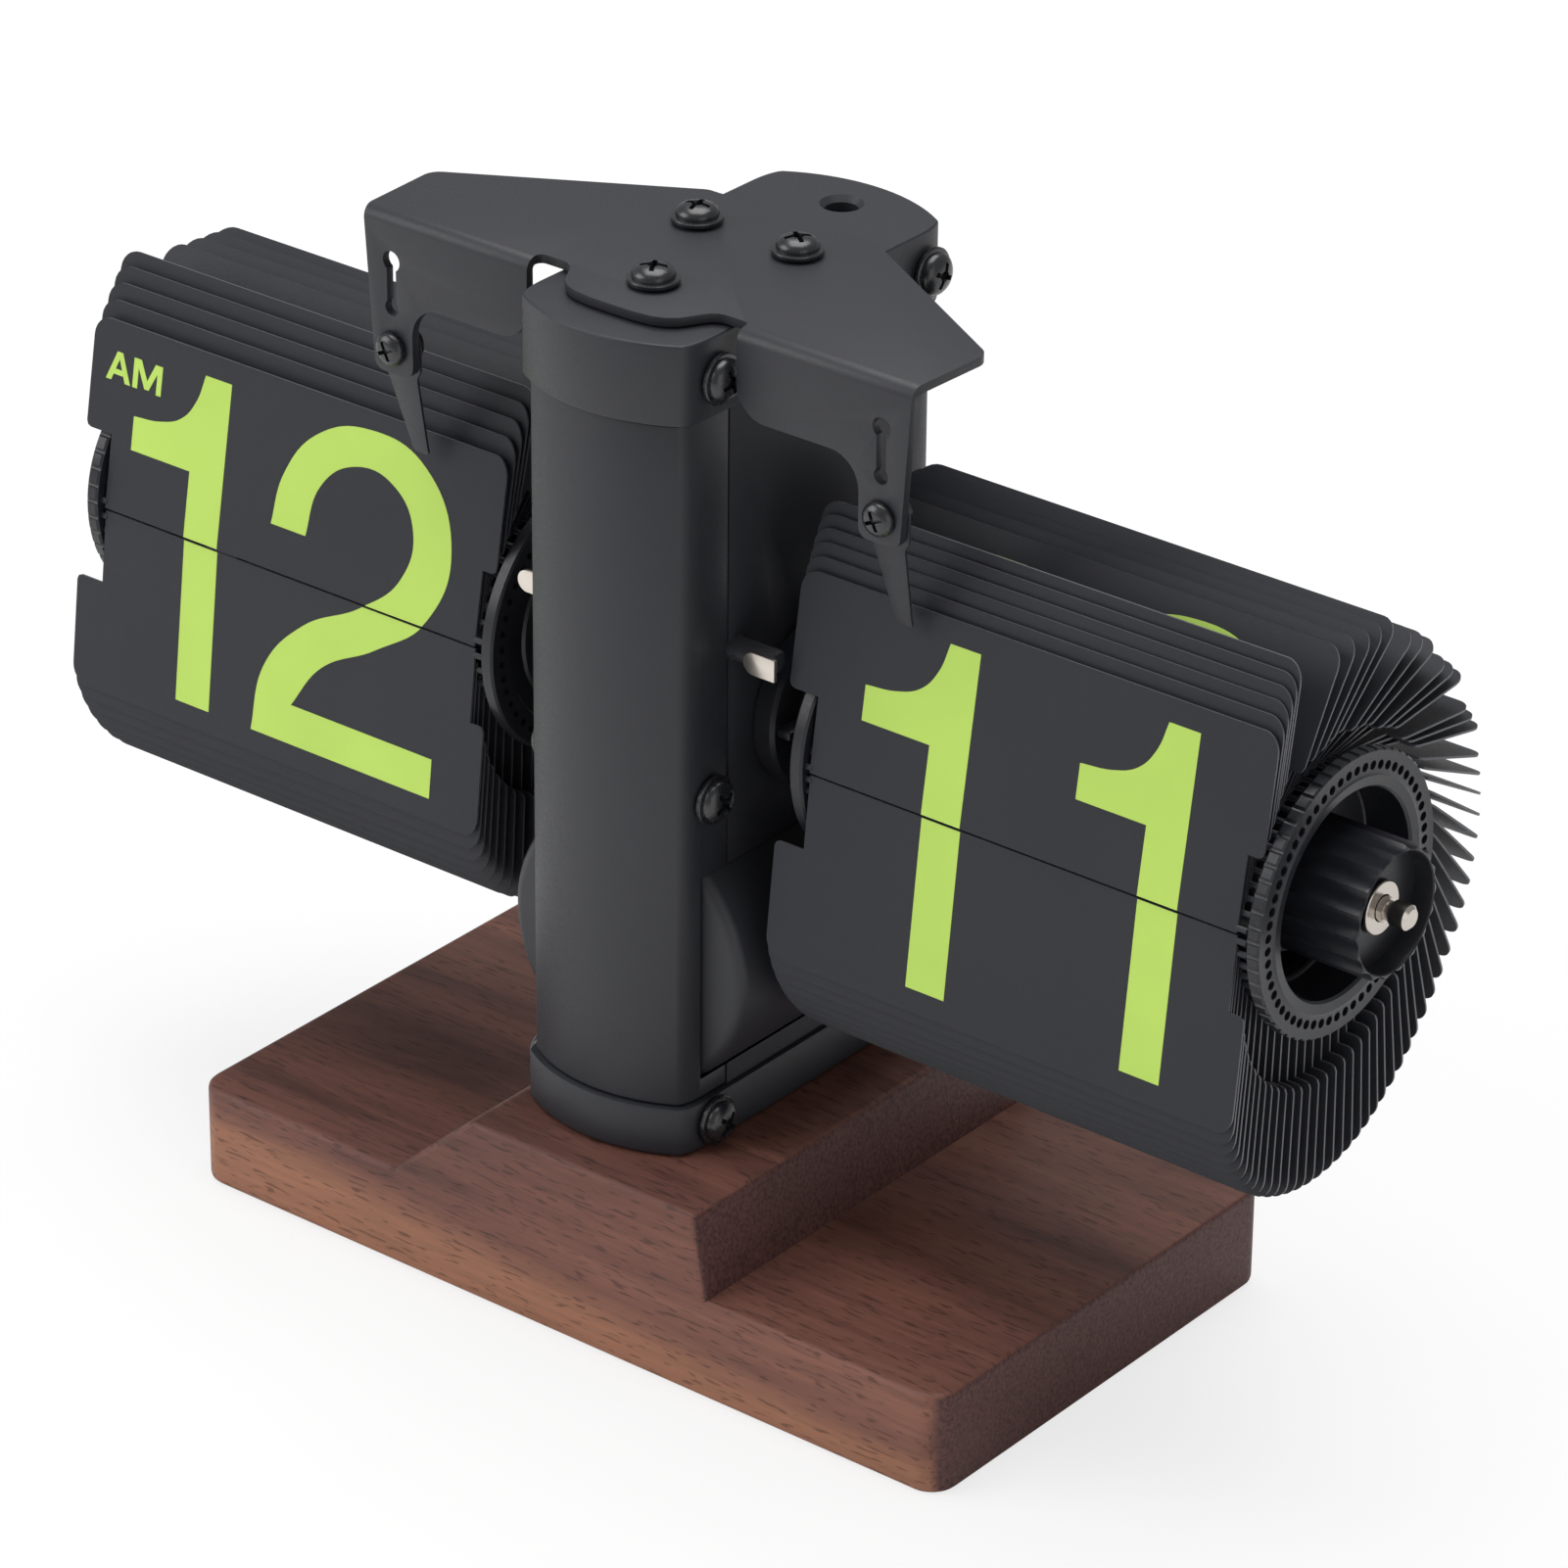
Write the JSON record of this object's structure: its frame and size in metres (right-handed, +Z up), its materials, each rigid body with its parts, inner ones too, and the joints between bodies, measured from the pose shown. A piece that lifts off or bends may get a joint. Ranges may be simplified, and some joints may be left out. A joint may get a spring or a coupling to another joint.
{
  "type": "flip clock",
  "caption": "Desk flip clock: a dark column on a stepped walnut base carries an hour drum and a minute drum of flap cards, under a sheet bracket with detent fingers.",
  "frame": {"origin": "centre of the walnut base's underside", "axes": "+X to the right as the clock is read, +Y to the back, +Z up; the clock faces -Y and the drums turn about X"},
  "size_m": [0.206, 0.0854, 0.1451],
  "materials": {
    "walnut": "oiled walnut, satin",
    "black_plastic": "fine satin moulding",
    "black_sheet": "satin black coat on bent sheet",
    "card": "matte charcoal card",
    "bright_steel": "turned bright steel",
    "dark_screw": "black oxide",
    "brass": "plain",
    "white_plastic": "natural acetal",
    "cell_wrap": "plain printed wrap with no text",
    "board": "green solder mask",
    "wire": "insulated lead"
  },
  "bodies": {
    "stand": {"walnut_base": "walnut", "base_screw_front": "bright_steel", "base_screw_rear": "bright_steel", "bottom_collar": "black_plastic", "front_shell": "black_plastic", "rear_shell": "black_plastic", "top_cap": "black_plastic", "left_cap_front_screw": "dark_screw", "right_cap_front_screw": "dark_screw", "left_cap_rear_screw": "dark_screw", "right_cap_rear_screw": "dark_screw", "left_shell_screw": "dark_screw", "right_shell_screw": "dark_screw", "left_collar_screw": "dark_screw", "right_collar_screw": "dark_screw", "top_bracket": "black_sheet", "bracket_screw_left": "dark_screw", "bracket_screw_right": "dark_screw", "bracket_screw_front": "dark_screw", "left_detent_finger": "black_sheet", "right_detent_finger": "black_sheet", "left_finger_screw": "dark_screw", "right_finger_screw": "dark_screw", "left_retainer_clip": "bright_steel", "right_retainer_clip": "bright_steel", "left_bearing_boss": "black_plastic", "right_bearing_boss": "black_plastic", "main_shaft": "bright_steel", "left_shaft_clip": "bright_steel", "right_shaft_clip": "bright_steel", "battery_tube": "black_plastic", "battery_cell": "cell_wrap", "front_contact": "brass", "centre_plate": "bright_steel", "gear_motor": "bright_steel", "driver_board": "board", "front_wire": "wire", "rear_wire": "wire", "minute_flaps_upper": "card", "minute_flaps_rear": "card", "minute_flaps_lower": "card", "hour_flaps_upper": "card", "hour_flaps_rear": "card", "hour_flaps_lower": "card"},
    "lid": {"battery_lid": "black_plastic", "lid_contact": "brass"},
    "minute_drum": {"minute_hub_gear": "white_plastic", "minute_inner_flange": "black_plastic", "minute_outer_flange": "black_plastic", "minute_core": "black_plastic", "setting_knob": "black_plastic"},
    "hour_drum": {"hour_hub_gear": "white_plastic", "hour_inner_flange": "black_plastic", "hour_outer_flange": "black_plastic", "hour_core": "black_plastic"},
    "idler": {"idler_gear": "white_plastic"},
    "motor_output": {"motor_pinion": "brass"},
    "minute_flap": {"minute_front_flap": "card"},
    "hour_flap": {"hour_front_flap": "card"}
  },
  "joints": [
    {"name": "minute_drum_spin", "type": "hinge", "parent": "stand", "child": "minute_drum", "pos_m": [0.06, 0.0005, 0.0834], "axis": [1, 0, 0], "continuous": true},
    {"name": "hour_drum_spin", "type": "hinge", "parent": "stand", "child": "hour_drum", "pos_m": [-0.06, 0.0005, 0.0834], "axis": [1, 0, 0], "continuous": true},
    {"name": "idler_spin", "type": "hinge", "parent": "stand", "child": "idler", "pos_m": [0, 0.0005, 0.0974], "axis": [1, 0, 0], "continuous": true},
    {"name": "motor_spin", "type": "hinge", "parent": "stand", "child": "motor_output", "pos_m": [0, 0.0005, 0.1114], "axis": [1, 0, 0], "continuous": true},
    {"name": "minute_flap_fall", "type": "hinge", "parent": "stand", "child": "minute_flap", "pos_m": [0.058, -0.01608, 0.08427], "axis": [1, 0, 0], "range_deg": [0, 165], "deforming": ["right_detent_finger"]},
    {"name": "hour_flap_fall", "type": "hinge", "parent": "stand", "child": "hour_flap", "pos_m": [-0.063, -0.01606, 0.08449], "axis": [1, 0, 0], "range_deg": [0, 165], "deforming": ["left_detent_finger"]},
    {"name": "lid_turn", "type": "hinge", "parent": "stand", "child": "lid", "pos_m": [0, 0.0474, 0.0513], "axis": [0, 1, 0], "range_deg": [0, 45]}
  ],
  "couplings": [
    {"joint": "idler_spin", "follows": "minute_drum_spin", "ratio": -0.25},
    {"joint": "hour_drum_spin", "follows": "minute_drum_spin", "ratio": 0.041667},
    {"joint": "motor_spin", "follows": "minute_drum_spin", "ratio": 1}
  ]
}
